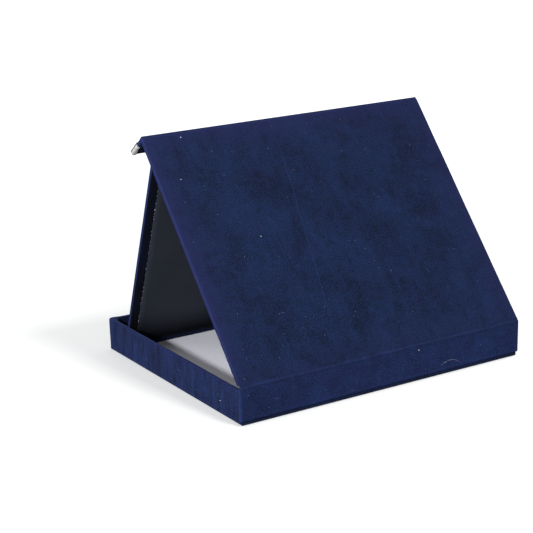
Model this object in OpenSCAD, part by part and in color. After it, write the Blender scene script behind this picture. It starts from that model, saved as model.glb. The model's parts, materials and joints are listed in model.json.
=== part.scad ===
// Velvet-covered presentation box that stands open as an easel.
// A shallow tray lies on the table. A case of three covered boards is joined to its
// bottom front edge with cloth: the spine stands against the tray, the lid slopes up
// and back, and the closing flap hangs from the lid's far edge. A prop panel, hinged
// under the lid, stands in the tray and holds the lid up.
// The origin is on the table under the middle of the box. +Z is up, and the spine
// faces -Y.

/* [Tray] */
// Outside width of the tray, left to right
tray_w = 320; // [240:5:400]
// Outside depth of the tray, front to rear
tray_d = 252; // [230:2:300]
// Height of the tray
tray_h = 32.5; // [30:0.5:42]
// Radius of the upright outside corners
corner_r = 1.2; // [1.1:0.1:1.4]

/* [Boards and coverings] */
// Thickness of the greyboard
board_t = 3; // [2.5:0.5:4]
// Thickness of the velvet and of the linings
cloth_t = 0.5; // [0.4:0.1:0.6]
// Width of the velvet turned in over the lid's and the prop's inner faces
turn_in = 11; // [8:1:15]
// Width of the velvet turned in over the spine's and the flap's inner faces
narrow_turn_in = 6; // [4:1:8]
// How far a lining laps over the turned-in velvet
lining_lap = 1; // [0.5:0.5:2]
// How far a lining stands proud of the turned-in velvet
lining_proud = 0.2; // [0.1:0.1:0.2]

/* [Case] */
// Overhang of the case past each side of the tray
overhang = 2; // [0:0.5:4]
// Slope of the lid above the table, in degrees
lid_angle = 50; // [40:1:51]
// Depth of the flap, from the lid's outer face to the free edge
flap_l = 28; // [24:1:30]
// Gap between the spine and the tray
case_gap = 0.3; // [0.2:0.1:0.6]
// Play between the flap and the tray when the box is shut
lid_play = 0.7; // [0.3:0.1:1.5]

/* [Prop] */
// Distance from the lid's far edge to the prop's hinge
prop_inset = 19; // [17:1:24]
// Distance from the rear wall to the front of the prop's foot
foot_gap = 18; // [14:1:24]
// Gap between the prop and each side wall
prop_side_gap = 2.5; // [1:0.5:6]

/* [Corner caps] */
// Length of a cap along the flap's end
cap_l = 16.5; // [12:0.5:18]
// Width of a cap's flanges
cap_w = 5.5; // [4:0.5:8]
// Thickness of a cap's sheet metal
cap_t = 0.5; // [0.4:0.1:0.6]

/* [Magnetic closure] */
// Diameter of the magnets and of the steel discs that they hold
magnet_d = 10; // [6:1:12]
// Thickness of a magnet
magnet_t = 2; // [1:0.5:2]
// Thickness of a steel disc
keeper_t = 1; // [0.5:0.5:1.5]
// Distance between the two magnets
magnet_spacing = 200; // [100:10:220]
// Height of the magnets above the table
magnet_z = 18; // [14:1:20]

/* [Hidden] */
$fn = 48;

navy = "#24305a";
board_grey = "#9a958a";
lining_black = "#1d1f24";
lining_pale = "#c8c7cf";
nickel = "#d5d6d8";
steel = "#8d9196";

eps = 0.01;
clear = 0.3;
panel_t = board_t + 2 * cloth_t;

// Tray: its front face, its rear face and the levels inside it
total_d = panel_t + case_gap + tray_d;
spine_y = -total_d / 2;
tray_front = spine_y + panel_t + case_gap;
tray_back = total_d / 2;
base_top = cloth_t + board_t;
floor_z = base_top + cloth_t;
rim_board_z = tray_h - cloth_t;
board_w = tray_w - 2 * cloth_t;
inner_w = tray_w - 2 * panel_t;

// Case: the spine's hinge axis is below its foot, in the middle of the panel's thickness. The
// lid's and the flap's axes lie in the cloth at the outer face, where the panels fold.
case_w = tray_w + 2 * overhang;
spine_axis_y = spine_y + panel_t / 2;
spine_axis_z = panel_t / 2;
spine_bead_r = panel_t / 2 - 0.1;
spine_foot = panel_t + 0.2;
lid_axis_y = spine_y + cloth_t;
lid_axis_z = tray_h + board_t + cloth_t;
lid_run = total_d + lid_play + panel_t - 2 * cloth_t;
bead_clear = cloth_t + 0.1;
spine_top = lid_axis_z - bead_clear;
lid_start = board_t + cloth_t + clear;
lid_end = lid_run - cloth_t - clear;
flap_w = case_w - 2 * cap_t;
flap_start = board_t + cloth_t + lining_proud + clear;
flap_end = flap_l - cloth_t;

// Prop: hung from its hinge axis under the lid, with its foot on the tray's floor
prop_drop = board_t + cloth_t + 2 * lining_proud + 0.2;
prop_s = lid_run + cloth_t - prop_inset;
prop_y = lid_axis_y + prop_s * cos(lid_angle) + prop_drop * sin(lid_angle);
prop_z = lid_axis_z + prop_s * sin(lid_angle) - prop_drop * cos(lid_angle);
foot_y = tray_back - panel_t - foot_gap;
foot_z = floor_z + 0.2;
prop_l = norm([foot_y - prop_y, foot_z - prop_z]);
prop_turn = atan2(foot_z - prop_z, foot_y - prop_y) - lid_angle;
prop_w = inner_w - 2 * prop_side_gap;
prop_bead_r = 0.35;
prop_start = 0.5;
prop_tab = 9;

// --- Shared shapes ---

// Block centred on X, between two Y planes and two Z planes
module block(w, y0, y1, z0, z1) {
    translate([-w / 2, y0, z0])
        cube([w, y1 - y0, z1 - z0]);
}

// Plan with rounded corners, centred on X, between two Y values
module rounded_plan(w, y0, y1, r) {
    translate([-w / 2 + r, y0])
        square([w - 2 * r, y1 - y0]);
    translate([-w / 2, y0 + r])
        square([w, y1 - y0 - 2 * r]);
    for (x = [-w / 2 + r, w / 2 - r], y = [y0 + r, y1 - r])
        translate([x, y])
            circle(r = r);
}

// Panels are drawn with the board's outer face on z = 0 and +y away from the hinge.
module panel_board(w, y0, y1) {
    block(w - 2 * cloth_t, y0 + cloth_t, y1 - cloth_t, -board_t, 0);
}

// Velvet over the outer face and the edges, turned in round the inner face
module panel_cover(w, y0, y1, turn) {
    difference() {
        block(w, y0, y1, -board_t - cloth_t, cloth_t);
        panel_board(w, y0, y1);
        block(w - 2 * turn, y0 + turn, y1 - turn, -panel_t, -eps);
    }
}

// Lining that fills the space inside the turn-ins and laps over their edges
module panel_lining(w, y0, y1, turn) {
    lap = turn - lining_lap;
    block(w - 2 * turn, y0 + turn, y1 - turn, -board_t - cloth_t, -board_t);
    block(w - 2 * lap, y0 + lap, y1 - lap, -board_t - cloth_t - lining_proud, -board_t - cloth_t);
}

// Velvet that runs on past a panel's edge, towards a hinge
module hinge_sheet(w, y0, y1) {
    block(w, y0, y1, 0, cloth_t);
}

// Rounded fold of cloth along a hinge axis
module bead(w, r) {
    rotate([0, 90, 0])
        cylinder(r = r, h = w, center = true);
}

// Two discs side by side, with their flat faces across z
module disc_pair(d, t) {
    for (x = [-magnet_spacing / 2, magnet_spacing / 2])
        translate([x, 0, 0])
            cylinder(d = d, h = t);
}

// --- Frames of the moving panels ---

module on_spine() {
    translate([0, lid_axis_y, 0])
        rotate([90, 0, 0])
            children();
}

module on_lid() {
    translate([0, lid_axis_y, lid_axis_z])
        rotate([lid_angle, 0, 0])
            children();
}

module on_flap() {
    on_lid()
        translate([0, lid_run, 0])
            rotate([-90, 0, 0])
                children();
}

module on_prop() {
    on_lid()
        translate([0, prop_s, -prop_drop])
            rotate([prop_turn, 0, 0])
                translate([0, 0, board_t + cloth_t])
                    children();
}

// --- Tray ---

module base_cover() {
    color(navy)
        linear_extrude(cloth_t)
            rounded_plan(tray_w, tray_front, tray_back, corner_r);
}

module base_board() {
    color(board_grey)
        block(board_w, tray_front + cloth_t, tray_back - cloth_t, cloth_t, base_top);
}

module front_wall_board() {
    y = tray_front + cloth_t;
    color(board_grey)
        block(board_w, y, y + board_t, base_top, rim_board_z);
}

module rear_wall_board() {
    y = tray_back - cloth_t;
    color(board_grey)
        difference() {
            block(board_w, y - board_t, y, base_top, rim_board_z);
            translate([0, y + eps, magnet_z])
                rotate([90, 0, 0])
                    disc_pair(magnet_d + 0.2, magnet_t + eps);
        }
}

module side_wall_board() {
    color(board_grey)
        translate([tray_w / 2 - cloth_t - board_t / 2, 0, 0])
            block(board_t, tray_front + cloth_t + board_t, tray_back - cloth_t - board_t,
                  base_top, rim_board_z);
}

module left_wall_board() {
    mirror([1, 0, 0])
        side_wall_board();
}

module right_wall_board() {
    side_wall_board();
}

// One strip of velvet round the outside, over the rim and down the inside
module tray_cover() {
    y0 = tray_front + cloth_t;
    y1 = tray_back - cloth_t;
    color(navy)
        difference() {
            translate([0, 0, cloth_t])
                linear_extrude(tray_h - cloth_t)
                    rounded_plan(tray_w, tray_front, tray_back, corner_r);
            block(board_w, y0, y1, 0, base_top);
            difference() {
                block(board_w, y0, y1, base_top - eps, rim_board_z);
                block(board_w - 2 * board_t, y0 + board_t, y1 - board_t, 0, tray_h);
            }
            block(inner_w, tray_front + panel_t, tray_back - panel_t, 0, tray_h + 1);
        }
}

module floor_lining() {
    color(lining_pale)
        block(inner_w, tray_front + panel_t, tray_back - panel_t, base_top, floor_z);
}

module closure_magnets() {
    color(steel)
        translate([0, tray_back - cloth_t, magnet_z])
            rotate([90, 0, 0])
                disc_pair(magnet_d, magnet_t);
}

// Cloth that joins the tray's bottom front edge to the spine
module spine_hinge_cloth() {
    color(navy)
        difference() {
            union() {
                translate([0, spine_axis_y, spine_axis_z])
                    bead(case_w, spine_bead_r);
                block(tray_w, spine_axis_y, tray_front, 0.1, 0.1 + cloth_t);
            }
            translate([0, spine_axis_y, spine_axis_z])
                bead(case_w + 2, spine_bead_r - cloth_t);
        }
}

// --- Spine ---

module spine_board() {
    color(board_grey)
        on_spine()
            panel_board(case_w, spine_foot, spine_top);
}

module spine_cover() {
    color(navy)
        on_spine()
            panel_cover(case_w, spine_foot, spine_top, narrow_turn_in);
}

module spine_lining() {
    color(lining_black)
        on_spine()
            block(case_w - 2 * narrow_turn_in, spine_foot + narrow_turn_in,
                  spine_top - narrow_turn_in, -board_t - cloth_t, -board_t);
}

module lid_hinge_cloth() {
    color(navy)
        on_spine() {
            translate([0, lid_axis_z, 0])
                bead(case_w, cloth_t);
            hinge_sheet(case_w, spine_top, lid_axis_z);
        }
}

// --- Lid ---

module lid_board() {
    color(board_grey)
        on_lid()
            panel_board(case_w, lid_start, lid_end);
}

module lid_cover() {
    color(navy)
        on_lid() {
            panel_cover(case_w, lid_start, lid_end, turn_in);
            hinge_sheet(case_w, bead_clear, lid_start);
        }
}

module lid_lining() {
    color(lining_black)
        on_lid()
            panel_lining(case_w, lid_start, lid_end, turn_in);
}

module flap_hinge_cloth() {
    color(navy)
        on_lid() {
            translate([0, lid_run, 0])
                bead(case_w, cloth_t);
            hinge_sheet(case_w, lid_end, lid_run);
        }
}

// Cloth hinge of the prop: a fold along the axis and a tab glued under the lid
module prop_hinge_cloth() {
    color(navy)
        on_lid()
            translate([0, prop_s, -prop_drop]) {
                bead(prop_w, prop_bead_r);
                block(prop_w, 0, prop_tab, 0, 2 * lining_proud);
            }
}

// --- Flap ---

module flap_board() {
    color(board_grey)
        on_flap()
            difference() {
                panel_board(flap_w, flap_start, flap_end);
                translate([0, lid_axis_z - magnet_z, -board_t - eps])
                    disc_pair(magnet_d + 0.2, keeper_t + eps);
            }
}

module flap_cover() {
    color(navy)
        on_flap() {
            panel_cover(flap_w, flap_start, flap_end, narrow_turn_in);
            hinge_sheet(flap_w, bead_clear, flap_start);
        }
}

module flap_lining() {
    color(lining_black)
        on_flap()
            panel_lining(flap_w, flap_start, flap_end, narrow_turn_in);
}

module closure_keepers() {
    color(steel)
        on_flap()
            translate([0, lid_axis_z - magnet_z, -board_t])
                disc_pair(magnet_d, keeper_t);
}

// Sheet-metal cap over the flap's free corner: an end plate, a bottom plate and two
// flanges, the outer one square and the inner one cut off at a slant
module corner_cap() {
    y0 = flap_end + cap_t - cap_l;
    y1 = flap_end + cap_t;
    slant = 2;
    under = -board_t - cloth_t - lining_proud;
    color(nickel)
        on_flap()
            difference() {
                translate([case_w / 2 - cap_w / 2, 0, 0])
                    block(cap_w, y0, y1, under - cap_t, cloth_t + cap_t);
                block(flap_w, y0 - 1, flap_end, under, cloth_t);
                translate([case_w / 2 - cap_w, y0, under - cap_t - 1])
                    linear_extrude(cap_t + 1)
                        polygon([[-1, -1], [cap_w - cap_t, -1], [0, slant], [-1, slant]]);
            }
}

module left_corner_cap() {
    mirror([1, 0, 0])
        corner_cap();
}

module right_corner_cap() {
    corner_cap();
}

// --- Prop ---

module prop_board() {
    color(board_grey)
        on_prop()
            panel_board(prop_w, prop_start, prop_l);
}

module prop_cover() {
    color(navy)
        on_prop()
            panel_cover(prop_w, prop_start, prop_l, turn_in);
}

module prop_lining() {
    color(lining_black)
        on_prop()
            panel_lining(prop_w, prop_start, prop_l, turn_in);
}

base_cover();
base_board();
front_wall_board();
rear_wall_board();
left_wall_board();
right_wall_board();
tray_cover();
floor_lining();
closure_magnets();
spine_hinge_cloth();
spine_board();
spine_cover();
spine_lining();
lid_hinge_cloth();
lid_board();
lid_cover();
lid_lining();
flap_hinge_cloth();
flap_board();
flap_cover();
flap_lining();
closure_keepers();
left_corner_cap();
right_corner_cap();
prop_hinge_cloth();
prop_board();
prop_cover();
prop_lining();
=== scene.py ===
"""Looks of a navy velvet presentation box that stands open as an easel.

Every piece is built in metres in the CAD frame. Panels are drawn in their own axes: x is the
CAD's X, s runs away from the panel's hinge and h is the height above the board's outer face.
"""

import json
import math
import random

import bmesh
import bpy
from mathutils import Matrix, Vector, noise


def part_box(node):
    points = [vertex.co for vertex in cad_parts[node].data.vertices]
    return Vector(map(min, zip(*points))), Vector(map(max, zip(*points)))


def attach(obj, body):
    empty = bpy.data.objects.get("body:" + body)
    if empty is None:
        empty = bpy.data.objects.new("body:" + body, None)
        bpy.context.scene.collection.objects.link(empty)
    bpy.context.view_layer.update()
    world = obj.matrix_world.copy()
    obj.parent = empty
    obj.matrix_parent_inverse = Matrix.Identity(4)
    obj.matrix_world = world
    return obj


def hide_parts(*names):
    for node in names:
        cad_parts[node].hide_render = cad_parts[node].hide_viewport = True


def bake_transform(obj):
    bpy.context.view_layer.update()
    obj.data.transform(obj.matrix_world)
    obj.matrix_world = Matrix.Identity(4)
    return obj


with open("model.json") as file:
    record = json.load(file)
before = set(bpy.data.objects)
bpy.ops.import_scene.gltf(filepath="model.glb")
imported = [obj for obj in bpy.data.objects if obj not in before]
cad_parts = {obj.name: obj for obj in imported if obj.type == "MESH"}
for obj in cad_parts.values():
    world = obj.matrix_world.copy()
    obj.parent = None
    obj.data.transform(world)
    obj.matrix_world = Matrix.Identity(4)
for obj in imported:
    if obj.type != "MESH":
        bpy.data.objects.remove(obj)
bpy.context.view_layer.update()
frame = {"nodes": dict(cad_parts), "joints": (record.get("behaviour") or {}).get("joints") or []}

HINGES = {j["name"]: Vector(j["pos_m"]) for j in frame["joints"]}
RANGES = {j["name"]: j["range_deg"] for j in frame["joints"]}
MM = 0.001

# Velvet and board: thicknesses, and the velvet's outer and inner faces as heights h
CLOTH = 0.5 * MM
BOARD = 3.0 * MM
PANEL = BOARD + 2 * CLOTH
H_OUT = CLOTH
H_IN = -BOARD - CLOTH
LINING_PROUD = 0.2 * MM

# Rounding of a panel's edges, and of its corners seen from the front
EDGE_R = 1.05 * MM
CORNER_R = 1.15 * MM

# Rings near a rounded end, in edge radii. The last two lie past CORNER_R, where the even rings
# begin, so the skin doubles back on itself by 0.6 mm there.
END_RINGS = (0.0, 0.08, 0.3, 0.62, 1.0, 1.25, 1.7)
ACROSS = 64

# Bare cloth in the lid's crease and the flap's fold: its thickness, and how far it draws in at
# the sides
CREASE_THIN = 0.48 * MM
FLAP_THIN = 0.78 * MM
CREASE_TUCK = 0.35 * MM
FLAP_TUCK = 0.05 * MM

# Painted highlight on edges: how fast it comes in with the turn of the face, and how far from the
# lid's hinge it is at full strength
EDGE_GAIN = 5.5
CREASE_CALM = 9 * MM


# --- Panel axes ---


class Axes:
    """A panel's own axes: origin on its hinge, unit vectors along the panel and out of it."""

    def __init__(self, origin, along, out):
        self.origin = origin
        self.along = along.normalized()
        self.out = out.normalized()

    def at(self, x, s, h):
        return Vector((x, 0, 0)) + self.origin + self.along * s + self.out * h


class SideAxes(Axes):
    """The left wall's own axes: x runs towards the front, s up and h out to the left."""

    def __init__(self, origin):
        super().__init__(origin, Vector((0, 0, 1)), Vector((-1, 0, 0)))

    def at(self, x, s, h):
        return self.origin + Vector((0, -x, 0)) + self.along * s + self.out * h


def clamp(t):
    """t held between 0 and 1."""
    return min(1.0, max(0.0, t))


def turned(v, degrees):
    """v turned about +X."""
    return Matrix.Rotation(math.radians(degrees), 3, "X") @ v


lid_along = (HINGES["flap_hinge"] - HINGES["lid_hinge"]).normalized()
lid_out = turned(lid_along, 90)
prop_along = turned(lid_along, -180 - RANGES["prop_hinge"][0])
prop_back = turned(prop_along, 90)

spine_axes = Axes(Vector((0, HINGES["lid_hinge"].y, 0)), Vector((0, 0, 1)), Vector((0, -1, 0)))
lid_axes = Axes(HINGES["lid_hinge"], lid_along, lid_out)
flap_axes = Axes(HINGES["flap_hinge"], -lid_out, lid_along)
prop_axes = Axes(HINGES["prop_hinge"] - prop_back * H_IN, prop_along, prop_back)

tray_lo, tray_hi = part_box("tray_cover")
measured = {}


def extent(node, axes):
    """Half width and the range of s that a CAD node covers in its panel's axes. Each node is
    measured once and kept in measured."""
    if node not in measured:
        mesh = frame["nodes"][node].data
        reach = [(v.co - axes.origin).dot(axes.along) for v in mesh.vertices]
        measured[node] = (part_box(node)[1].x, min(reach), max(reach))
    return measured[node]


# --- Mesh helpers ---


def new_object(name, mesh_data):
    obj = bpy.data.objects.new(name, mesh_data)
    bpy.context.scene.collection.objects.link(obj)
    return obj


def mark_cloth(obj, axes_at, painted_light_at, edge_plum_at=None, edge_light_scale_at=None):
    """Stores three values per vertex: one that is 1 where the cloth turns over an edge, for a
    painted highlight there; lift, a factor on the colour for painted light and shade; and one
    that says how far the colour turns plum. Where the scale function says less than 1, the
    painted edge highlight is weaker."""
    mesh = obj.data
    painted_edge_values, painted_light_values, edge_plum_values = [], [], []
    for v in mesh.vertices:
        axes = axes_at(v.co)
        facing = (abs(v.normal.x), abs(v.normal.dot(axes.along)), abs(v.normal.dot(axes.out)))
        calm = min(1.0, (v.co - lid_axes.origin).yz.length / CREASE_CALM)
        edge_light_scale = edge_light_scale_at(v.co) if edge_light_scale_at else 1.0
        painted_edge_values.append(edge_light_scale * calm * min(1.0, EDGE_GAIN * (1.0 - max(facing))))
        painted_light_values.append(painted_light_at(v.co, v.normal))
        edge_plum_values.append(edge_plum_at(v.co) if edge_plum_at else 0.0)
    for name, values in (("painted_edge_light", painted_edge_values), ("lift", painted_light_values), ("edge_plum", edge_plum_values)):
        store_values(mesh, name, values)


def store_values(mesh, name, values):
    """Stores one number per vertex, which a material reads by name."""
    mesh.attributes.new(name, "FLOAT", "POINT").data.foreach_set("value", values)


def finish_mesh(name, bm, smooth_angle=40):
    """Smooth-shaded object from a bmesh, with sharp edges kept sharp."""
    bmesh.ops.recalc_face_normals(bm, faces=bm.faces)
    mesh = bpy.data.meshes.new(name)
    bm.to_mesh(mesh)
    bm.free()
    for polygon in mesh.polygons:
        polygon.use_smooth = True
    obj = new_object(name, mesh)
    mesh.set_sharp_from_angle(angle=math.radians(smooth_angle))
    return obj


def rounded_section(half_w, h_low, h_high, r, across, corner=4):
    """Closed outline of a rounded rectangle as (x, h), the outer row first and then the inner
    row backwards, with the two rows' points at the same x."""
    r = max(0.02 * MM, min(r, (h_high - h_low) / 2 - 0.01 * MM))
    xs = [-half_w + r + (2 * half_w - 2 * r) * i / across for i in range(across + 1)]
    turn = [math.pi / 2 * i / corner for i in range(1, corner)]
    points = [(x, h_high) for x in xs]
    points += [(half_w - r + r * math.sin(t), h_high - r + r * math.cos(t)) for t in turn]
    points.append((half_w, h_high - r))
    points.append((half_w, h_low + r))
    points += [(half_w - r + r * math.cos(t), h_low + r - r * math.sin(t)) for t in turn]
    points += [(x, h_low) for x in reversed(xs)]
    points += [(-half_w + r - r * math.sin(t), h_low + r - r * math.cos(t)) for t in turn]
    points.append((-half_w, h_low + r))
    points.append((-half_w, h_high - r))
    points += [(-half_w + r - r * math.cos(t), h_high - r + r * math.sin(t)) for t in turn]
    return points


def lengths_round(ring):
    """Length round a closed ring up to each point, and up to the first one again."""
    lengths = [0.0]
    for i in range(1, len(ring) + 1):
        lengths.append(lengths[-1] + (ring[i % len(ring)] - ring[i - 1]).length)
    return lengths


def join_rows(bm, grid, uv, us, vs):
    """Quads between neighbouring closed rows, with UVs in metres: us[row] round the row and
    vs from row to row."""
    count = len(grid[0])
    for j in range(len(grid) - 1):
        for i in range(count):
            k = (i + 1) % count
            face = bm.faces.new((grid[j][i], grid[j][k], grid[j + 1][k], grid[j + 1][i]))
            corners = ((us[j][i], vs[j]), (us[j][i + 1], vs[j]),
                       (us[j + 1][i + 1], vs[j + 1]), (us[j + 1][i], vs[j + 1]))
            for loop, value in zip(face.loops, corners):
                loop[uv].uv = value


def skin_rings(name, rings, across):
    """Closed skin over rings of equal length, with UVs in metres: u round the ring, and v from
    ring to ring."""
    bm = bmesh.new()
    uv = bm.loops.layers.uv.new("cloth")
    grid = [[bm.verts.new(p) for p in ring] for ring in rings]
    us = [lengths_round(ring) for ring in rings]
    vs = [0.0]
    for a, b in zip(rings, rings[1:]):
        vs.append(vs[-1] + (b[across // 2] - a[across // 2]).length)
    join_rows(bm, grid, uv, us, vs)
    for j in (0, len(rings) - 1):
        cap_ring(bm, grid[j], across, uv, vs[j])
    bmesh.ops.remove_doubles(bm, verts=bm.verts, dist=0.002 * MM)
    return finish_mesh(name, bm)


def cap_ring(bm, ring, across, uv, v):
    """Closes a flat ring with quads between its outer and inner rows, and a fan at each side."""
    count = len(ring)
    side = (count - 2 * (across + 1)) // 2
    inner_end = across + side + 1
    faces = []
    for i in range(across):
        j = inner_end + across - i
        faces.append(bm.faces.new((ring[i], ring[i + 1], ring[j - 1], ring[j])))
    faces.append(bm.faces.new(ring[across:inner_end + 1]))
    faces.append(bm.faces.new(ring[inner_end + across:] + ring[:1]))
    for face in faces:
        for loop in face.loops:
            loop[uv].uv = (loop.vert.co.x, v)


def rounded_end_steps(r, steps=4):
    """(distance from the end, inset) pairs that round a panel's end."""
    pairs = []
    for i in range(steps + 1):
        t = math.pi / 2 * i / steps
        pairs.append((r * (1 - math.cos(t)), r * (1 - math.sin(t))))
    return pairs


def quarter_inset(d, r):
    """Inset of a quarter round of radius r at distance d from the end."""
    if d >= r:
        return 0.0
    return r - math.sqrt(r * r - (r - d) ** 2)


def slab_ring(axes, s, half_w, h_low, h_high, r=EDGE_R):
    """One ring round a panel at s, from h_low to h_high."""
    return [axes.at(x, s, h) for x, h in rounded_section(half_w, h_low, h_high, r, ACROSS)]


def panel_rings(axes, half_w, s0, s1, along, ends=(True, True)):
    """Rings of a rounded panel from s0 to s1, with rounded ends where asked. The cloth gathers
    at the corners, so they are rounder seen from the front than the edges are."""
    near = [EDGE_R * k for k in END_RINGS]
    start = s0 + CORNER_R if ends[0] else s0
    stop = s1 - CORNER_R if ends[1] else s1
    stations = [s0 + d for d in near] if ends[0] else []
    stations += [start + (stop - start) * i / along for i in range(along + 1)]
    stations += [s1 - d for d in reversed(near)] if ends[1] else []
    rings = []
    for s in stations:
        d = min(s - s0 if ends[0] else CORNER_R, s1 - s if ends[1] else CORNER_R)
        inset = quarter_inset(d, EDGE_R)
        rings.append(slab_ring(axes, s, half_w - quarter_inset(d, CORNER_R), H_IN + inset,
                               H_OUT - inset, EDGE_R - inset))
    return rings


def fold_rings(axes, before, half_w, thin, bend=8):
    """Rings of bare cloth that turn on a panel's hinge, from facing as the panel before does
    to facing as this panel does."""
    rings = []
    for i in range(bend + 1):
        out = before.out.lerp(axes.out, i / bend).normalized()
        arc = Axes(axes.origin, axes.along, out)
        rings.append(slab_ring(arc, 0, half_w, H_OUT - thin, H_OUT))
    return rings


def hinge_rings(axes, board_start, half_w, thin, parts, tuck_at, sink_at):
    """Rings of bare cloth from a hinge to the next board, drawn in at the sides by tuck_at and
    sunk by sink_at, and then rings that thicken to the whole panel. Also says where they end."""
    rings = []
    end = board_start - CLOTH
    rounding = 0.8 * MM
    for i in range(1, parts):
        s = end * i / parts
        sink = sink_at(s)
        rings.append(slab_ring(axes, s, half_w - tuck_at(s), H_OUT - thin - sink, H_OUT - sink))
    for t in (0.0, 0.2, 0.5, 1.0):
        s = end + rounding * t
        depth = thin + (PANEL - thin) * step_up(t)
        rings.append(slab_ring(axes, s, half_w, H_OUT - depth, H_OUT - sink_at(s)))
    return rings, end + rounding


def ripple(obj, amount, scale, seed, keep=None):
    """Moves the skin in and out by a smooth noise, as cloth glued to board does."""
    offset = Vector((seed * 7.3, seed * 3.1, seed * 1.7))
    mesh = obj.data
    normals = [v.normal.copy() for v in mesh.vertices]
    for v, n in zip(mesh.vertices, normals):
        if keep and keep(v.co):
            continue
        v.co += n * amount * noise.noise(v.co * scale + offset)
    mesh.update()


# --- Velvet over the case: spine and lid in one sheet ---


def crease_groove(s):
    """Depth that the velvet sinks between the spine's board and the lid's board."""
    depth, middle, width = 0.22 * MM, 2.0 * MM, 1.3 * MM
    return depth * math.exp(-((s - middle) / width) ** 2)


def crease_tuck(d):
    """How far the cloth draws in at the side, at a distance from the spine's top."""
    return CREASE_TUCK * (1 - clamp(d / (1.0 * MM)))


def step_up(t):
    """0 to 1 along a quarter round."""
    return math.sqrt(max(0.0, 1 - (1 - clamp(t)) ** 2))


def case_axes_at(p):
    return spine_axes if p.z < lid_axes.origin.z else lid_axes


def case_painted_light(p, _normal):
    """Painted light: the spine is painted lighter than the lid, and the lid a little lighter
    towards the right. The lid is also a little lighter along its edges than in its middle."""
    on_spine, step = 1.6, 0.63
    above = clamp(0.5 + (p.z - lid_axes.origin.z) / (6 * MM))
    return on_spine - step * above + 0.26 * case_edge_plum(p) + 0.3 * p.x


def case_edge_plum(p):
    """1 along the lid's side and far edges, fading to 0 over a few centimetres."""
    half_w, _, far = extent("lid_cover", lid_axes)
    along = (p - lid_axes.origin).dot(lid_axes.along)
    inward = min(half_w - abs(p.x), max(0.0, far - along))
    fade = clamp(along / (30 * MM))
    return 0.3 * (1 - fade) + fade * math.exp(-inward / (15 * MM))


def case_edge_light_scale(p):
    """Scale of the painted edge highlight: it is weak on the spine's edges."""
    return 0.15 if case_axes_at(p) is spine_axes else 1.0


def spine_top_rings(half_w, top):
    """Rings that draw in at the sides and thin out to bare cloth at the spine's top."""
    rings = [slab_ring(spine_axes, top - d, half_w - crease_tuck(d), H_IN, H_OUT)
             for d in (2.2 * MM, 1.3 * MM, 0.8 * MM)]
    rounding = 0.5 * MM
    for t in (0.0, 0.5, 0.85, 1.0):
        s = top - rounding * (1 - t)
        depth = CREASE_THIN + (PANEL - CREASE_THIN) * step_up(1 - t)
        rings.append(slab_ring(spine_axes, s, half_w - crease_tuck(top - s), H_OUT - depth,
                               H_OUT))
    return rings


def build_case_velvet():
    """One velvet-covered skin from the spine's foot over the crease to the lid's far edge."""
    half_w, foot, spine_top = extent("spine_cover", spine_axes)
    _, _, lid_end = extent("lid_cover", lid_axes)
    _, board_start, _ = extent("lid_board", lid_axes)
    rings = panel_rings(spine_axes, half_w, foot, spine_top - 3 * MM, 8, ends=(True, False))
    rings += spine_top_rings(half_w, spine_top)
    rings += fold_rings(lid_axes, spine_axes, half_w - CREASE_TUCK, CREASE_THIN)
    hinge, start = hinge_rings(lid_axes, board_start, half_w, CREASE_THIN, 9,
                               lambda s: crease_tuck(s - 2 * MM), crease_groove)
    rings += hinge
    rings += panel_rings(lid_axes, half_w, start, lid_end, 52, ends=(False, True))[1:]
    obj = skin_rings("case_velvet", rings, ACROSS)
    crease = lid_axes.origin
    mark_cloth(obj, case_axes_at, case_painted_light, case_edge_plum, case_edge_light_scale)
    ripple(obj, 0.16 * MM, 22, 1, keep=lambda p: (p - crease).yz.length < 7 * MM)
    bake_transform(obj)
    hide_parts("spine_cover", "lid_cover", "lid_hinge_cloth")
    return obj


def flap_painted_light(_p, normal):
    """Painted light: the flap's inner face, which catches little light, is painted lighter."""
    return 3.0 if normal.dot(flap_axes.out) < -0.8 else 1.0


def build_flap_velvet():
    """The flap's velvet, with the thin strip that folds over from the lid."""
    half_w, _, flap_end = extent("flap_cover", flap_axes)
    _, board_start, _ = extent("flap_board", flap_axes)
    fold = flap_axes.origin
    tab_axes = Axes(fold, lid_axes.along, lid_axes.out)
    rings = [slab_ring(tab_axes, s, half_w - 0.4 * MM, h - FLAP_THIN, h)
             for s, h in ((-2.5 * MM, -0.2 * MM), (-1.2 * MM, -0.05 * MM))]
    rings += fold_rings(flap_axes, lid_axes, half_w - FLAP_TUCK, FLAP_THIN)
    hinge, start = hinge_rings(flap_axes, board_start, half_w, FLAP_THIN, 6,
                               lambda s: FLAP_TUCK, lambda s: 0.0)
    rings += hinge
    rings += panel_rings(flap_axes, half_w, start, flap_end, 6, ends=(False, True))[1:]
    obj = skin_rings("flap_velvet", rings, ACROSS)
    mark_cloth(obj, lambda p: flap_axes, flap_painted_light)
    ripple(obj, 0.08 * MM, 30, 2, keep=lambda p: (p - fold).yz.length < 6 * MM)
    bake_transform(obj)
    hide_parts("flap_cover", "flap_hinge_cloth")
    return obj


def foot_painted_shade(p):
    """Painted shade on the prop's front towards its foot and its lower corners: 1 well above it.
    """
    half_w, _, foot = extent("prop_cover", prop_axes)
    corner = 22 * MM * math.exp(-(half_w - abs(p.x)) / (12 * MM))
    t = clamp((foot - (p - prop_axes.origin).dot(prop_axes.along) - corner) / (44 * MM))
    darkest = 0.04
    return darkest + (1 - darkest) * t * t * (3 - 2 * t)


def prop_painted_shade(p, normal):
    """Painted shade: the border round the prop's lining is painted darker than its edges and
    back.
    """
    return 0.2 * foot_painted_shade(p) if normal.dot(prop_axes.out) < -0.8 else 1.0


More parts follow.
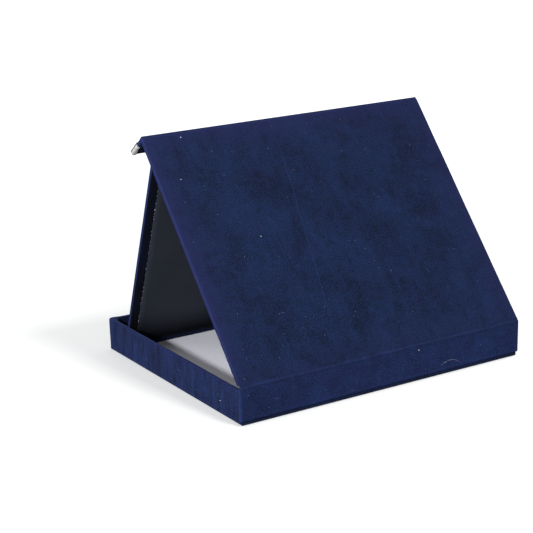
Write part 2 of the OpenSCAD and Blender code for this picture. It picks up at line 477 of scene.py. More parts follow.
def build_prop_velvet():
    """The prop's velvet, over its board on all sides."""
    half_w, s0, s1 = extent("prop_cover", prop_axes)
    rings = panel_rings(prop_axes, half_w, s0, s1, 44)
    obj = skin_rings("prop_velvet", rings, ACROSS)
    mark_cloth(obj, lambda p: prop_axes, prop_painted_shade)
    ripple(obj, 0.12 * MM, 22, 3)
    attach(obj, "prop")
    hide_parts("prop_cover")
    return obj


# --- Velvet over the tray ---


def plan_outline(lo, hi, inset, along_x=40, along_y=32, corner=6):
    """Rounded rectangle in plan, inset from the tray's outside, from the front left corner. The
    turned-in cloth gathers inside the corners, which are rounder than the outside."""
    outer_r, gathered = 1.2 * MM, 7.0 * MM
    r = outer_r + gathered * clamp((inset - 1.0 * MM) / (PANEL - 1.0 * MM))
    half_gap = min((hi.x - lo.x) / 2 - inset, (hi.y - lo.y) / 2 - inset)
    r = min(r, max(half_gap - 0.01 * MM, 0.0))
    x0, x1 = lo.x + inset, hi.x - inset
    y0, y1 = lo.y + inset, hi.y - inset
    corners = (((x1 - r, y0 + r), -90), ((x1 - r, y1 - r), 0),
               ((x0 + r, y1 - r), 90), ((x0 + r, y0 + r), 180))
    starts = ((x0 + r, y0), (x1, y0 + r), (x1 - r, y1), (x0, y1 - r))
    counts = (along_x, along_y, along_x, along_y)
    points = []
    for (centre, angle), start, count in zip(corners, starts, counts):
        first = Vector(start)
        t0 = math.radians(angle)
        last = Vector(centre) + r * Vector((math.cos(t0), math.sin(t0)))
        points += [first.lerp(last, 0.5 - 0.5 * math.cos(math.pi * i / count))
                   for i in range(count)]
        for i in range(corner):
            t = t0 + math.pi / 2 * i / corner
            points.append(Vector(centre) + r * Vector((math.cos(t), math.sin(t))))
    return points


def tray_profile(height, floor_z):
    """(inset, z) from the middle of the underside, up the outside, over the rim and down the
    inside to the floor lining."""
    r = 1.0 * MM
    steps = 5
    turn = [math.pi / 2 * i / steps for i in range(steps + 1)]
    profile = [(inset, 0.0) for inset in (124 * MM, 60 * MM, 20 * MM, 6 * MM)]
    profile += [(r - r * math.sin(t), r - r * math.cos(t)) for t in turn]
    rises = 7
    profile += [(0.0, r + (height - 2 * r) * i / rises) for i in range(1, rises)]
    profile += [(r - r * math.cos(t), height - r + r * math.sin(t)) for t in turn]
    profile += [(PANEL - r + r * math.sin(t), height - r + r * math.cos(t)) for t in turn]
    profile += [(PANEL, height - r - (height - r - floor_z) * i / rises)
                for i in range(1, rises + 1)]
    return profile


def tray_painted_shade(p, _normal):
    """Painted shade: the velvet inside the tray is painted darker."""
    depth = min(p.x - tray_lo.x, tray_hi.x - p.x, p.y - tray_lo.y, tray_hi.y - p.y)
    return 1.0 - 0.62 * clamp((depth - 2.6 * MM) / (1.4 * MM))


def puff_corners(obj, corners, amount, reach):
    """Swells the skin beside the upright corners, where the folded cloth is thickest."""
    mesh = obj.data
    normals = [v.normal.copy() for v in mesh.vertices]
    for v, n in zip(mesh.vertices, normals):
        d = min((v.co - corner).xy.length for corner in corners)
        height = min(1.0, v.co.z / (20 * MM))
        v.co += n * amount * height * d / reach * math.exp(1 - d / reach)
    mesh.update()


def build_tray_velvet():
    """The tray's velvet: under the base, up the walls, over the rim and down inside."""
    lo, hi = tray_lo, tray_hi
    profile = tray_profile(hi.z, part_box("floor_lining")[1].z - 0.3 * MM)
    bm = bmesh.new()
    uv = bm.loops.layers.uv.new("cloth")
    grid = [[bm.verts.new((p.x, p.y, z)) for p in plan_outline(lo, hi, inset)]
            for inset, z in profile]
    us = lengths_round(plan_outline(lo, hi, 0.0))
    vs = [0.0]
    for a, b in zip(profile, profile[1:]):
        vs.append(vs[-1] + math.hypot(a[0] - b[0], a[1] - b[1]))
    join_rows(bm, grid, uv, [us] * len(grid), vs)
    bmesh.ops.remove_doubles(bm, verts=bm.verts, dist=0.002 * MM)
    obj = finish_mesh("tray_velvet", bm)
    mark_cloth(obj, lambda p: spine_axes, tray_painted_shade)
    ripple(obj, 0.18 * MM, 26, 4, keep=lambda p: p.z < 2 * MM or abs(p.y - lo.y) < 5 * MM)
    rear = [Vector((lo.x, hi.y, 0)), Vector((hi.x, hi.y, 0))]
    puff_corners(obj, rear, 0.8 * MM, 3.5 * MM)
    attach(obj, "tray")
    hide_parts("tray_cover", "base_cover")
    return obj


# --- Cloth hinges ---


STRIP_ACROSS = 48


def strip_rings(path, half_w, thin):
    """Rings of a thin strip along (point, outward normal) pairs."""
    rings = []
    for point, out in path:
        section = rounded_section(half_w, -thin, 0.0, thin / 2, STRIP_ACROSS)
        rings.append([point + Vector((x, 0, 0)) + out * h for x, h in section])
    return rings


def build_foot_hinge():
    """Velvet strip from under the tray's front edge up to the foot of the spine."""
    axis = HINGES["spine_hinge"]
    front = tray_lo.y
    half_w = tray_hi.x - 0.2 * MM
    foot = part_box("spine_cover")[0].z
    low, reach = 1.8 * MM, 1.25 * MM
    down, ahead = Vector((0, 0, -1)), Vector((0, -1, 0))
    path = [(Vector((0, front + 1.5 * MM, axis.z - low + 0.5 * MM)), down),
            (Vector((0, front + 0.4 * MM, axis.z - low)), down)]
    bend = 10
    for i in range(bend + 1):
        out = down.lerp(ahead, i / bend).normalized()
        path.append((axis + out * (low + (reach - low) * i / bend), out))
    path.append((Vector((0, axis.y - reach, foot + 0.2 * MM)), ahead))
    path.append((Vector((0, axis.y - reach + 0.5 * MM, foot + 1.5 * MM)), ahead))
    rings = strip_rings(path, half_w, 0.6 * MM)
    obj = skin_rings("foot_hinge_velvet", rings, STRIP_ACROSS)
    # Painted shade: the strip is painted darker, as it sits back in shade under the spine
    mark_cloth(obj, lambda p: spine_axes, lambda p, n: 0.7)
    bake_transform(obj)
    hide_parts("spine_hinge_cloth")
    return obj


def build_prop_hinge():
    """Cloth strip glued under the lid behind the prop, folded down over the prop's back."""
    axis = HINGES["prop_hinge"]
    half_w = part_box("prop_hinge_cloth")[1].x - 4 * MM
    tab = 9 * MM
    reach = math.hypot(PANEL, 0.5 * MM) + 0.1 * MM
    back_corner = prop_axes.at(0, 0.5 * MM, H_OUT) - axis
    end_angle = math.degrees(back_corner.angle(lid_axes.along))
    path = [(axis + lid_axes.along * s + lid_axes.out * 0.1 * MM, -lid_axes.out)
            for s in (tab, 0.75 * tab, reach + 0.4 * MM)]
    bend = 8
    for i in range(bend + 1):
        ray = turned(lid_axes.along, -end_angle * i / bend)
        path.append((axis + ray * reach, ray))
    path += [(prop_axes.at(0, s, H_OUT + 0.25 * MM), prop_axes.out)
             for s in (1.2 * MM, 0.5 * tab, tab)]
    rings = strip_rings(path, half_w, 0.35 * MM)
    obj = skin_rings("prop_hinge_velvet", rings, STRIP_ACROSS)
    mark_cloth(obj, lambda p: prop_axes, lambda p, n: 1.0)
    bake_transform(obj)
    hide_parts("prop_hinge_cloth")
    return obj


# --- Linings ---


def lining_stations(s0, s1):
    """(s, inset) pairs from end to end of a lining, with thin rounded ends."""
    rows = 36 if s1 - s0 > 50 * MM else 8
    margin = 0.3 * MM
    end = rounded_end_steps(0.1 * MM, 2)
    stations = [(s0 + d, inset) for d, inset in end]
    stations += [(s0 + margin + (s1 - s0 - 2 * margin) * i / rows, 0.0) for i in range(rows + 1)]
    stations += [(s1 - d, inset) for d, inset in reversed(end)]
    return stations


def build_lining(name, body, axes, node, seed, short=0.0):
    """A lining sheet that laps over the turned-in velvet, with slightly uneven cut edges."""
    half_w, s0, s1 = extent(node, axes)
    half_w -= short
    across = 48
    rng = random.Random(seed)
    long_phase, short_phase = (rng.uniform(0, 6.28) for _ in range(2))
    rings = []
    for s, inset in lining_stations(s0, s1):
        wander = math.sin(s * 90 + long_phase) + math.sin(s * 260 + short_phase)
        section = rounded_section(half_w - inset + 0.12 * MM * wander,
                                  H_IN - LINING_PROUD + inset, H_IN + 0.1 * MM, 0.08 * MM,
                                  across, corner=2)
        rings.append([axes.at(x, s, h) for x, h in section])
    obj = skin_rings(name, rings, across)
    # Painted shade towards the foot of the prop's lining
    mark_cloth(obj, lambda p: axes, lambda p, n: foot_painted_shade(p) if body == "prop" else 1.0)
    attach(obj, body)
    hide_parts(node)
    return obj


def build_fray(name, body, axes, node, seed):
    """Short pale threads that stand out of a lining's cut side edges."""
    half_w, s0, s1 = extent(node, axes)
    rng = random.Random(seed)
    bm = bmesh.new()
    for side in (-1, 1):
        s = s0 + rng.uniform(2, 6) * MM
        while s < s1 - 3 * MM:
            tuft(bm, axes, side * (half_w + 0.1 * MM), s, side, rng)
            s += rng.uniform(2.5, 9.0) * MM
    obj = finish_mesh(name, bm)
    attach(obj, body)
    return obj


def tuft(bm, axes, x, s, side, rng):
    """One thread end, as a small tapered four-sided spike that lies on the velvet."""
    length = rng.uniform(0.5, 1.1) * MM
    width = rng.uniform(0.16, 0.28) * MM
    lean = rng.uniform(-0.7, 0.7)
    h = H_IN - 0.1 * MM
    base = [axes.at(x, s - width, h), axes.at(x, s, h - width),
            axes.at(x, s + width, h), axes.at(x, s, h + 0.4 * width)]
    tip = axes.at(x + side * length, s + lean * length, h - 0.06 * MM)
    verts = [bm.verts.new(p) for p in base]
    top = bm.verts.new(tip)
    bm.faces.new(verts)
    for i in range(4):
        bm.faces.new((verts[i], verts[(i + 1) % 4], top))


# --- Corner caps ---


CAP_METAL = 0.42 * MM
CAP_R = 0.8 * MM
CAP_LOW = H_IN - LINING_PROUD - 0.5 * MM
CAP_HIGH = H_OUT + 0.5 * MM


def cap_section(edge, inner, inset):
    """Open U outline of a cap as (x, h): outer flange, bend, side face, bend and inner flange,
    all drawn in by inset."""
    outer, inner = 5.2 * MM - inset, inner - inset
    low, high = CAP_LOW + inset, CAP_HIGH - inset
    edge -= inset
    r = max(CAP_R - inset, 0.02 * MM)
    bend, flange = 5, 4
    turn = [math.pi / 2 * i / bend for i in range(bend + 1)]
    points = [(edge - outer + (outer - r) * i / flange, high) for i in range(flange)]
    points += [(edge - r + r * math.sin(t), high - r + r * math.cos(t)) for t in turn]
    side_face = high - low - 2 * r
    points += [(edge, high - r - side_face * k) for k in (0.2, 0.35, 0.8, 0.95)]
    points += [(edge - r + r * math.cos(t), low + r - r * math.sin(t)) for t in turn]
    points += [(edge - r - (inner - r) * i / flange, low) for i in range(1, flange + 1)]
    return points


def cap_painted_reflection(inward, h):
    """Painted dark reflection round the outer bend and in a thin line along the inner one."""
    outer = clamp((h - CAP_HIGH + 1.8 * MM) / (0.4 * MM))
    outer *= clamp((1.6 * MM - inward) / (0.6 * MM))
    inner = 0.85 * max(0.0, 1 - abs(h - CAP_LOW - 0.8 * MM) / (0.5 * MM))
    return max(outer, inner)


def build_cap(name, node, side):
    """Bent nickel cap over the flap's free corner, open towards the flap."""
    _, s0, s1 = extent(node, flap_axes)
    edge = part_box("lid_cover")[1].x
    near, far = 2.0 * MM, 4.2 * MM
    stations = [(s0 + (s1 - CAP_R - s0) * k, 0.0) for k in (0.0, 0.12, 0.35, 0.6, 0.8)]
    stations += [(s1 - d, inset) for d, inset in reversed(rounded_end_steps(CAP_R, 5))]
    bm = bmesh.new()
    rows = []
    for s, inset in stations:
        inner = near + (far - near) * (s - s0) / (s1 - s0)
        rows.append([bm.verts.new(flap_axes.at(side * x, s, h))
                     for x, h in cap_section(edge, inner, inset)])
    for a, b in zip(rows, rows[1:]):
        for i in range(len(a) - 1):
            bm.faces.new((a[i], a[i + 1], b[i + 1], b[i]))
    last = rows[-1]
    for i in range(len(last) // 2 - 1):
        bm.faces.new((last[i], last[i + 1], last[-i - 2], last[-i - 1]))
    bmesh.ops.remove_doubles(bm, verts=bm.verts, dist=0.01 * MM)
    obj = finish_mesh(name, bm, smooth_angle=50)
    # Painted dark reflection along the bends, stored per vertex
    store_values(obj.data, "painted_edge_light",
                 [cap_painted_reflection(edge - abs(v.co.x), (v.co - flap_axes.origin).dot(flap_axes.out))
                  for v in obj.data.vertices])
    shell = obj.modifiers.new("sheet", "SOLIDIFY")
    shell.thickness = CAP_METAL
    shell.offset = -1
    edge_round = obj.modifiers.new("edges", "BEVEL")
    edge_round.width = 0.1 * MM
    edge_round.segments = 2
    edge_round.limit_method = "ANGLE"
    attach(obj, "flap")
    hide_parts(node)
    return obj


# --- Lint ---


def lint_path(axes, x, s, length, curl, heading, lift):
    """Points of a fibre that lies on a panel's outer face and curls as it goes."""
    points = []
    steps, angle = 14, heading
    for i in range(steps + 1):
        points.append(axes.at(x, s, H_OUT + lift * math.sin(math.pi * i / steps)))
        x += length / steps * math.cos(angle)
        s += length / steps * math.sin(angle)
        angle += curl / steps
    return points


def add_fibre(bm, points, radius):
    """Thin three-sided thread along the points."""
    rows = []
    for i, p in enumerate(points):
        ahead = points[min(i + 1, len(points) - 1)] - points[max(i - 1, 0)]
        side = ahead.cross(Vector((0.3, 0.2, 0.93))).normalized()
        up = side.cross(ahead).normalized()
        taper = radius * (0.45 + 0.55 * math.sin(math.pi * (i + 0.5) / (len(points) + 0.5)))
        rows.append([bm.verts.new(p + taper * (side * math.cos(t) + up * math.sin(t)))
                     for t in (0.5, 2.6, 4.7)])
    for a, b in zip(rows, rows[1:]):
        for i in range(3):
            bm.faces.new((a[i], a[(i + 1) % 3], b[(i + 1) % 3], b[i]))
    bm.faces.new(rows[0])
    bm.faces.new(rows[-1])


def build_lint(name, body, axes, spans, count, specks, fibres, seed):
    """Fluff, brighter specks and stray fibres of pale lint on a panel's outer face. spans is
    the half width and the range of s that the fluff covers, specks are (x, s), and fibres are
    (x, s, length, curl, heading)."""
    rng = random.Random(seed)
    half_w, s0, s1 = spans
    bm = bmesh.new()
    for _ in range(count):
        x = rng.uniform(-half_w, half_w)
        s = rng.uniform(s0, s1)
        length = rng.uniform(0.3, 0.7) * MM
        curl, heading = rng.uniform(-3, 3), rng.uniform(0, 6.28)
        points = lint_path(axes, x, s, length, curl, heading, 0.15 * MM)
        add_fibre(bm, points, rng.uniform(0.04, 0.12) * MM)
    for x, s in specks:
        add_fibre(bm, lint_path(axes, x, s, 1.1 * MM, 2.0, 0.6, 0.2 * MM), 0.42 * MM)
    for x, s, length, curl, heading in fibres:
        add_fibre(bm, lint_path(axes, x, s, length, curl, heading, 0.3 * MM), 0.07 * MM)
    obj = finish_mesh(name, bm)
    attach(obj, body)
    return obj


# --- Materials ---


class Nodes:
    """Short calls for building a material's node tree."""

    def __init__(self, name):
        self.material = bpy.data.materials.new(name)
        self.material.use_nodes = True
        self.tree = self.material.node_tree
        self.shader = self.tree.nodes["Principled BSDF"]

    def add(self, kind, **values):
        node = self.tree.nodes.new(kind)
        for key, value in values.items():
            setattr(node, key, value)
        return node

    def link(self, a, b):
        self.tree.links.new(a, b)

    def cloth(self, u, v):
        """Cloth UVs in metres, times u and v."""
        return self.scaled(self.add("ShaderNodeUVMap", uv_map="cloth").outputs["UV"], (u, v, 1))

    def solid(self, *scale):
        """The object's own coordinates in metres, times scale."""
        return self.scaled(self.add("ShaderNodeTexCoord").outputs["Object"], scale)

    def scaled(self, source, scale):
        mapping = self.add("ShaderNodeMapping")
        mapping.inputs["Scale"].default_value = scale
        self.link(source, mapping.inputs["Vector"])
        return mapping.outputs["Vector"]

    def attribute(self, name):
        """A number that was stored per vertex."""
        return self.add("ShaderNodeAttribute", attribute_name=name).outputs["Fac"]

    def noise(self, vector, detail=4.0, roughness=0.55, distortion=0.0):
        node = self.add("ShaderNodeTexNoise")
        node.inputs["Scale"].default_value = 1.0
        node.inputs["Detail"].default_value = detail
        node.inputs["Roughness"].default_value = roughness
        node.inputs["Distortion"].default_value = distortion
        self.link(vector, node.inputs["Vector"])
        return node.outputs["Fac"]

    def math(self, kind, a, b=0.0, clamp=False):
        node = self.add("ShaderNodeMath", operation=kind, use_clamp=clamp)
        for socket, value in ((node.inputs[0], a), (node.inputs[1], b)):
            if isinstance(value, (int, float)):
                socket.default_value = value
            else:
                self.link(value, socket)
        return node.outputs[0]

    def ramp(self, value, stops):
        node = self.add("ShaderNodeValToRGB")
        elements = node.color_ramp.elements
        while len(elements) < len(stops):
            elements.new(0.5)
        for element, (position, colour) in zip(elements, stops):
            element.position = position
            element.color = (*colour, 1.0)
        self.link(value, node.inputs["Fac"])
        return node.outputs["Color"]

    def mix(self, factor, a, b, kind="MIX"):
        node = self.add("ShaderNodeMix", data_type="RGBA", blend_type=kind)
        for socket, value in ((node.inputs[0], factor), (node.inputs[6], a), (node.inputs[7], b)):
            if isinstance(value, (int, float)):
                socket.default_value = value
            elif isinstance(value, tuple):
                socket.default_value = (*value, 1.0)
            else:
                self.link(value, socket)
        return node.outputs[2]

    def weighted(self, *pairs, start=0.0):
        """Sum of value times weight, over (value, weight) pairs."""
        total = start
        for value, weight in pairs:
            total = self.math("ADD", self.math("MULTIPLY", value, weight), total)
        return total

    def base(self, colour):
        self.link(colour, self.shader.inputs["Base Color"])

    def bump(self, height, strength, distance):
        node = self.add("ShaderNodeBump")
        node.inputs["Strength"].default_value = strength
        node.inputs["Distance"].default_value = distance
        self.link(height, node.inputs["Height"])
        self.link(node.outputs["Normal"], self.shader.inputs["Normal"])

    def set(self, **values):
        """Sets the shader's own sockets by name, with _ for a space."""
        for key, value in values.items():
            self.shader.inputs[key.replace("_", " ")].default_value = value


def scratch(m, start, slope, span):
    """Mask of a faint crease: a thin wavering line that starts at (u, v) in cloth metres, leans
    by slope and is span long, with faded ends."""
    half_width, fade = 0.8 * MM, 0.2 * span
    parts = m.add("ShaderNodeSeparateXYZ")
    m.link(m.cloth(1, 1), parts.inputs["Vector"])
    run = m.math("SUBTRACT", parts.outputs["Y"], start[1])
    waver = m.noise(m.cloth(0, 22), detail=2)
    waver = m.math("MULTIPLY", m.math("SUBTRACT", waver, 0.5), 4 * MM)
    line = m.math("ADD", m.math("MULTIPLY", run, slope), waver)
    off = m.math("SUBTRACT", m.math("SUBTRACT", parts.outputs["X"], start[0]), line)
    off = m.math("DIVIDE", m.math("ABSOLUTE", off), half_width)
    near = m.math("SUBTRACT", 1.0, off, clamp=True)
    begun = m.math("DIVIDE", run, fade, clamp=True)
    left = m.math("DIVIDE", m.math("SUBTRACT", span, run), fade, clamp=True)
    return m.math("MULTIPLY", near, m.math("MULTIPLY", begun, left))


def velvet_material(name, shade, soft, streak, glow, crease=None, sheen=0.2):
    """Short-pile velvet: brushed nap in soft clouds and streaks, a fine grain, a painted
    highlight where the cloth turns over an edge, and painted light and shade through the lift
    factor. soft, streak and glow say how strong the clouds, the streaks and the painted edge
    highlights are."""
    m = Nodes(name)
    clouds = m.noise(m.cloth(20, 16), detail=5, roughness=0.6, distortion=0.7)
    strokes = m.noise(m.cloth(150, 24), detail=4, roughness=0.6, distortion=0.35)
    patches = m.noise(m.cloth(70, 90), detail=4, roughness=0.6, distortion=1.2)
    grain = m.noise(m.cloth(700, 700), detail=3, roughness=0.75)
    pile = m.noise(m.cloth(3000, 3000), detail=1, roughness=0.5)
    weights = ((clouds, soft), (strokes, streak), (patches, 0.75), (grain, 3.1), (pile, 1.5))
    nap = m.weighted(*weights, start=0.5 - 0.5 * sum(w for _, w in weights))
    if crease:
        nap = m.math("ADD", nap, m.math("MULTIPLY", scratch(m, *crease), 0.6))
    dark = tuple(c * 0.1 for c in shade)
    light = tuple(c * 2.2 for c in shade)
    colour = m.ramp(nap, ((0.0, dark), (1.0, light)))
    warm = m.noise(m.cloth(95, 70), detail=3, roughness=0.5, distortion=0.8)
    warm = m.ramp(warm, ((0.5, (0, 0, 0)), (0.72, (0.5, 0.5, 0.5))))
    plum = (shade[0] * 2.1, shade[1] * 1.0, shade[2] * 1.25)
    edge_plum = m.attribute("edge_plum")
    warm = m.math("MULTIPLY", m.math("ADD", warm, edge_plum), 0.7, clamp=True)
    colour = m.mix(warm, colour, plum)
    # Painted highlight where the cloth turns over an edge, patchy along it
    uneven = m.weighted((patches, 0.6), start=0.5)
    edge = m.math("MULTIPLY", m.attribute("painted_edge_light"), uneven)
    painted_highlight = tuple(c * glow for c in (shade[0] * 1.7, shade[1] * 1.0, shade[2] * 1.2))
    colour = m.mix(edge, colour, painted_highlight)
    # Painted light and shade: the colour is multiplied by the per-vertex lift
    colour = m.mix(1.0, colour, m.attribute("lift"), kind="MULTIPLY")
    m.base(colour)
    m.bump(m.weighted((grain, 0.6), (pile, 0.4), (strokes, 0.5)), 0.6, 0.4 * MM)
    m.set(Roughness=0.92, Specular_IOR_Level=0.1)
    m.set(Sheen_Weight=sheen, Sheen_Roughness=0.4, Sheen_Tint=(0.14, 0.18, 0.5, 1.0))
    return m.material


def black_lining_material():
    """Matt black lining cloth with a fine woven grain."""
    m = Nodes("black_lining_cloth")
    weave_a = m.noise(m.cloth(2600, 320), detail=2)
    weave_b = m.noise(m.cloth(320, 2600), detail=2)
    weave = m.weighted((weave_a, 0.5), (weave_b, 0.5))
    clouds = m.noise(m.cloth(16, 16), detail=4)
    value = m.weighted((weave, 0.5), (clouds, 0.5))
    colour = m.ramp(value, ((0.3, (0.0265, 0.0310, 0.0410)), (0.7, (0.0365, 0.0410, 0.0540))))
    # Painted shade through the lift factor, towards the prop's foot
    colour = m.mix(1.0, colour, m.attribute("lift"), kind="MULTIPLY")
    m.base(colour)
    m.bump(weave, 0.5, 0.2 * MM)
    m.set(Roughness=0.9, Specular_IOR_Level=0.0)
    return m.material


def paper_material():
    """Pale lilac-grey lining paper with a soft fibre grain."""
    m = Nodes("pale_lining_paper")
    fibre = m.noise(m.solid(900, 240, 600), detail=4, roughness=0.6)
    clouds = m.noise(m.solid(20, 20, 20), detail=3)
    value = m.weighted((fibre, 0.45), (clouds, 0.55))
    colour = m.ramp(value, ((0.3, (0.45, 0.445, 0.485)), (0.7, (0.51, 0.505, 0.545))))
    m.base(colour)
    m.bump(fibre, 0.25, 0.12 * MM)
    m.set(Roughness=0.8, Specular_IOR_Level=0.25)
    return m.material


def nickel_material():
    """Bright nickel plate with faint rubbed scratches, dull patches and a painted dark reflection
    along its bends.
    """
    m = Nodes("nickel_plate")
    scratches = m.noise(m.solid(500, 9000, 9000), detail=3)
    dull = m.noise(m.solid(260, 260, 260), detail=4)
    colour = m.ramp(dull, ((0.35, (0.64, 0.63, 0.605)), (0.7, (0.90, 0.89, 0.87))))
    # Painted dark reflection along the bends
    painted_reflection = m.math("MULTIPLY", m.attribute("painted_edge_light"), 0.95)
    colour = m.mix(painted_reflection, colour, (0.05, 0.05, 0.045))
    m.base(colour)
    m.link(m.weighted((dull, 0.2), start=0.1), m.shader.inputs["Roughness"])
    m.bump(scratches, 0.1, 0.03 * MM)
    m.set(Metallic=1.0, Specular_Tint=(0.12, 0.12, 0.115, 1.0))
    return m.material


def board_material():
    """Greyboard: mottled pulp with darker flecks."""
    m = Nodes("greyboard_pulp")
    pulp = m.noise(m.solid(220, 220, 220), detail=5, roughness=0.65)
    flecks = m.noise(m.solid(1400, 1400, 1400), detail=2)
    value = m.weighted((pulp, 0.6), (flecks, 0.4))
    colour = m.ramp(value, ((0.3, (0.24, 0.225, 0.20)), (0.7, (0.42, 0.40, 0.36))))
    m.base(colour)
    m.bump(flecks, 0.4, 0.15 * MM)
    m.set(Roughness=0.9)
    return m.material


def steel_material():
    """Plain disc steel with turning marks and light staining."""
    m = Nodes("disc_steel")
    marks = m.noise(m.solid(3000, 300, 3000), detail=3)
    stain = m.noise(m.solid(150, 150, 150), detail=4)
    colour = m.ramp(stain, ((0.35, (0.40, 0.40, 0.41)), (0.7, (0.56, 0.56, 0.57))))
    m.base(colour)
    m.link(m.weighted((marks, 0.3), start=0.2), m.shader.inputs["Roughness"])
    m.bump(marks, 0.2, 0.05 * MM)
    m.set(Metallic=1.0)
    return m.material


def lint_material():
    """Pale cotton fibre."""
    m = Nodes("pale_fibre")
    twist = m.noise(m.solid(2500, 2500, 2500), detail=2)
    colour = m.ramp(twist, ((0.3, (0.36, 0.38, 0.44)), (0.7, (0.60, 0.62, 0.68))))
    m.base(colour)
    m.bump(twist, 0.3, 0.05 * MM)
    m.set(Roughness=0.9)
    return m.material


def dress(material, *pieces):
    """Gives each piece one material."""
    for piece in pieces:
        piece.data.materials.clear()
        piece.data.materials.append(material)


# --- The object ---

case = build_case_velvet()
flap = build_flap_velvet()
prop = build_prop_velvet()
tray = build_tray_velvet()
foot_hinge = build_foot_hinge()
prop_hinge = build_prop_hinge()

linings = [
    build_lining("spine_inner_lining", "spine", spine_axes, "spine_lining", 11),
    build_lining("lid_inner_lining", "lid", lid_axes, "lid_lining", 12),
    build_lining("flap_inner_lining", "flap", flap_axes, "flap_lining", 13, short=13 * MM),
    build_lining("prop_front_lining", "prop", prop_axes, "prop_lining", 14),
]
frays = [
    build_fray("lid_lining_threads", "lid", lid_axes, "lid_lining", 21),
    build_fray("prop_lining_threads", "prop", prop_axes, "prop_lining", 22),
]
caps = [
    build_cap("left_nickel_cap", "left_corner_cap", -1),
    build_cap("right_nickel_cap", "right_corner_cap", 1),
]
wall_axes = SideAxes(Vector((tray_lo.x + H_OUT, 0, 0)))
case_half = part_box("lid_cover")[1].x - 6 * MM
lid_reach = extent("lid_cover", lid_axes)[2] - 6 * MM
lint = [
    build_lint("lid_lint", "lid", lid_axes, (case_half, 8 * MM, lid_reach), 95,
               ((-139 * MM, 210 * MM), (-122 * MM, 253 * MM), (-81 * MM, 139 * MM)), (), 31),
    build_lint("spine_lint", "spine", spine_axes, (case_half, 8 * MM, 30 * MM), 16,
               ((37 * MM, 31 * MM),), ((64 * MM, 10 * MM, 27 * MM, -1.5, 0.6),), 32),
    build_lint("left_wall_lint", "tray", wall_axes, (100 * MM, 5 * MM, 28 * MM), 7,
               ((89 * MM, 12 * MM),), (), 33),
]

# The crease's start in cloth metres, its lean and its length
lid_crease = ((case_half - 40 * MM, 70 * MM), 0.127, 200 * MM)
# One velvet in three navies, each set to match how bright its part looks under the lamps: painted
# light and shade
CASE_NAVY = (0.0028, 0.0072, 0.0265)
TRAY_NAVY = (0.0033, 0.0075, 0.0300)
PROP_NAVY = (0.0037, 0.0084, 0.0336)
navy_case = velvet_material("navy_velvet_case", CASE_NAVY, soft=0.9, streak=0.45, glow=2.1,
                            crease=lid_crease)
navy_tray = velvet_material("navy_velvet_tray", TRAY_NAVY, soft=0.5, streak=2.0, glow=1.5)
navy_prop = velvet_material("navy_velvet_prop", PROP_NAVY, soft=0.6, streak=1.4, glow=1.5,
                            sheen=0.04)
dress(navy_case, case, flap, foot_hinge)
dress(navy_tray, tray)
dress(navy_prop, prop, prop_hinge)
dress(black_lining_material(), *linings)
dress(nickel_material(), *caps)
dress(lint_material(), *frays, *lint)

nodes = frame["nodes"]
dress(board_material(), *(nodes[name] for name in nodes if name.endswith("_board")))
dress(paper_material(), nodes["floor_lining"])
dress(steel_material(), nodes["closure_magnets"], nodes["closure_keepers"])


# --- Stage, lights and camera ---


STUDIO_GREY = (0.72, 0.72, 0.72, 1.0)
STUDIO_GLOW = (0.99, 1.0, 0.99, 1.0)


def studio_material(name):
    """Matt pale grey that glows a little; how much is set by the caller."""
    m = Nodes(name)
    m.set(Base_Color=STUDIO_GREY, Roughness=0.9, Specular_IOR_Level=0.0)
    m.set(Emission_Color=STUDIO_GLOW)
    return m


def build_floor():
    """Pale sweep that takes shadows but throws no diffuse light back on the box. It glows
    more with the distance from the box, up to a limit."""
    near_glow, start, gain, most = 0.48, 0.55, 0.35, 0.4
    bm = bmesh.new()
    bmesh.ops.create_grid(bm, x_segments=2, y_segments=2, size=9.0)
    for v in bm.verts:
        v.co.z = -0.2 * MM
    obj = finish_mesh("studio_floor", bm)
    m = studio_material("white_sweep")
    reach = m.add("ShaderNodeVectorMath", operation="LENGTH")
    m.link(m.add("ShaderNodeTexCoord").outputs["Object"], reach.inputs[0])
    far = m.math("MULTIPLY", m.math("SUBTRACT", reach.outputs["Value"], start), gain)
    far = m.math("MINIMUM", m.math("MAXIMUM", far, 0.0), most)
    m.link(m.math("ADD", far, near_glow), m.shader.inputs["Emission Strength"])
    dress(m.material, obj)
    obj.visible_diffuse = False
    return obj


def build_backdrop():
    """White wall far round the floor, seen only by the camera."""
    bm = bmesh.new()
    bmesh.ops.create_cone(bm, segments=48, radius1=8.8, radius2=8.8, depth=14.0)
    obj = finish_mesh("studio_backdrop", bm)
    m = studio_material("white_backdrop")
    m.set(Emission_Strength=0.9)
    dress(m.material, obj)
    obj.visible_diffuse = False
    obj.visible_glossy = False
    obj.visible_transmission = False
    obj.visible_shadow = False


def area_light(name, direction, distance, size, power, colour):
    """Square soft light that points at the box from the given direction."""
    data = bpy.data.lights.new(name, "AREA")
    data.shape = "SQUARE"
    data.size = size
    data.energy = power
    data.color = colour
    obj = bpy.data.objects.new(name, data)
    obj.location = direction.normalized() * distance
    obj.rotation_euler = (-obj.location).to_track_quat("-Z", "Y").to_euler()
    bpy.context.scene.collection.objects.link(obj)
    return obj


def keep_light_off(light, obj):
    """The light leaves one object dark, so it adds no second shadow to the floor."""
    group = bpy.data.collections.new(light.name + "_skips")
    group.objects.link(obj)
    group.collection_objects[0].light_linking.link_state = "EXCLUDE"
    light.light_linking.receiver_collection = group


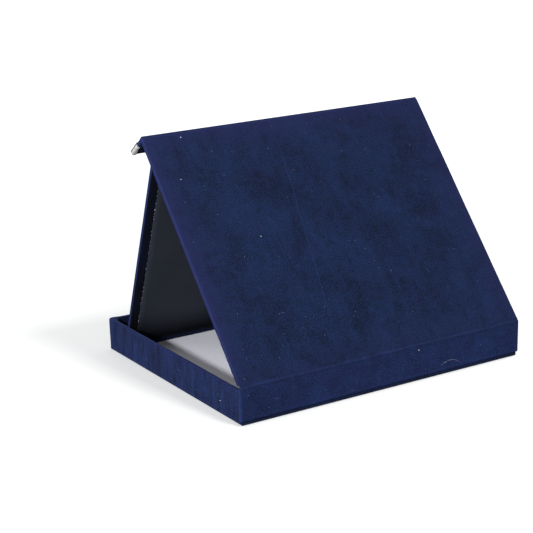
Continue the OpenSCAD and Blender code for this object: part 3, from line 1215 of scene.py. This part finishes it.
def build_world(strength):
    """Soft sky: bright overhead, dim below the table."""
    world = bpy.data.worlds.new("studio")
    world.use_nodes = True
    tree = world.node_tree
    background = tree.nodes["Background"]
    coords = tree.nodes.new("ShaderNodeTexCoord")
    axes = tree.nodes.new("ShaderNodeSeparateXYZ")
    ramp = tree.nodes.new("ShaderNodeValToRGB")
    low, high = ramp.color_ramp.elements
    low.position, low.color = 0.0, (0.16, 0.17, 0.18, 1.0)
    high.position, high.color = 0.12, (0.96, 0.98, 1.0, 1.0)
    tree.links.new(coords.outputs["Generated"], axes.inputs["Vector"])
    tree.links.new(axes.outputs["Z"], ramp.inputs["Fac"])
    tree.links.new(ramp.outputs["Color"], background.inputs["Color"])
    background.inputs["Strength"].default_value = strength
    bpy.context.scene.world = world


CAMERA_AT = (-0.8456, -1.2529, 0.5419)
CAMERA_TURN = (32.39, 16.62, -1.115)
CAMERA_LENS = 107.4


def build_camera():
    """Long lens from the front left, a little above the lid. The turn is yaw from +Y towards
    +X, pitch down and roll, in degrees."""
    yaw, pitch, roll = (math.radians(a) for a in CAMERA_TURN)
    ahead = Vector((math.sin(yaw) * math.cos(pitch), math.cos(yaw) * math.cos(pitch),
                    -math.sin(pitch)))
    level = Vector((math.cos(yaw), -math.sin(yaw), 0.0))
    upright = level.cross(ahead)
    right = level * math.cos(roll) + upright * math.sin(roll)
    up = upright * math.cos(roll) - level * math.sin(roll)
    data = bpy.data.cameras.new("camera")
    data.sensor_width = 36.0
    data.lens = CAMERA_LENS
    data.clip_end = 50.0
    obj = bpy.data.objects.new("camera", data)
    turn = Matrix((right, up, -ahead)).transposed().to_4x4()
    obj.matrix_world = Matrix.Translation(CAMERA_AT) @ turn
    bpy.context.scene.collection.objects.link(obj)
    bpy.context.scene.camera = obj


floor = build_floor()
build_backdrop()
build_world(0.62)
area_light("key", Vector((0.22, -1.30, 1.88)), 2.3, 0.36, 21, (1.0, 0.99, 0.97))
left = area_light("left", Vector((-0.82, -0.30, 0.415)), 1.6, 0.11, 39, (0.97, 0.98, 1.0))
fill = area_light("fill", Vector((-0.8, 0.2, 1.0)), 1.8, 0.8, 6, (0.98, 0.99, 1.0))
front = area_light("front", Vector((0.25, -1.0, 0.18)), 2.2, 1.0, 13, (0.98, 0.99, 1.0))
for light in (left, front, fill):
    keep_light_off(light, floor)
bpy.context.scene.view_settings.view_transform = "Standard"
build_camera()
